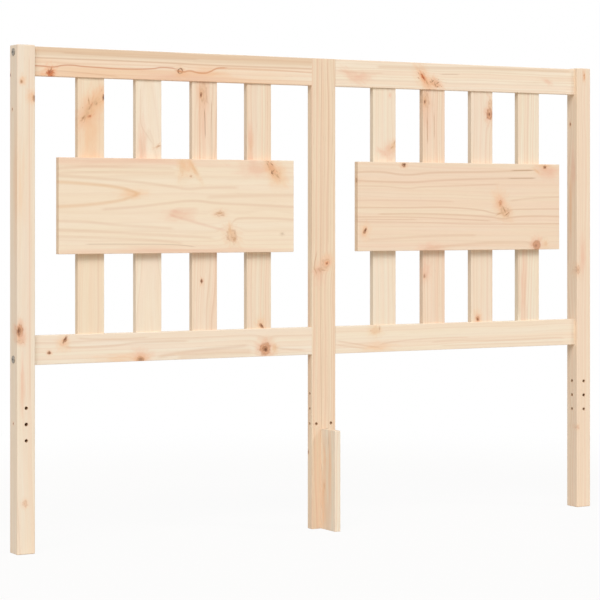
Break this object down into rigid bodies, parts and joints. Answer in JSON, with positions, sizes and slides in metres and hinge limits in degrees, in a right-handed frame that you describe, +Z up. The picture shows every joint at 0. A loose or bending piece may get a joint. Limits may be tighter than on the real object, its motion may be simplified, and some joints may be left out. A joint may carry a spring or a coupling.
{
  "type": "bed headboard",
  "caption": "Flat pine headboard for a double bed: square side posts, upright slats, a wide board across each half, and a centre post with a foot block.",
  "frame": {"origin": "on the floor, in the middle of the headboard's width and of its depth with the foot block", "axes": "+X to the right as seen from the bed, +Y towards the wall, +Z up"},
  "size_m": [1.409, 0.086, 1],
  "materials": {
    "pine": "bare planed pine, matt",
    "dowel_beech": "bare turned beech, matt",
    "zinc_steel": "zinc plated, satin"
  },
  "bodies": {
    "root": {"left_post": "pine", "right_post": "pine", "centre_post": "pine", "foot_block": "pine", "upper_rail_left": "pine", "lower_rail_left": "pine", "slat_left_1": "pine", "slat_left_2": "pine", "slat_left_3": "pine", "slat_left_4": "pine", "board_left": "pine", "upper_rail_right": "pine", "lower_rail_right": "pine", "slat_right_1": "pine", "slat_right_2": "pine", "slat_right_3": "pine", "slat_right_4": "pine", "board_right": "pine", "post_dowels": "dowel_beech", "centre_dowels": "dowel_beech", "board_screws_left": "zinc_steel", "board_screws_right": "zinc_steel", "post_bolts_left": "zinc_steel", "post_bolts_right": "zinc_steel", "post_barrel_nuts": "zinc_steel", "centre_barrel_nuts": "zinc_steel", "centre_studs": "zinc_steel", "foot_block_screws": "zinc_steel"}
  },
  "joints": []
}
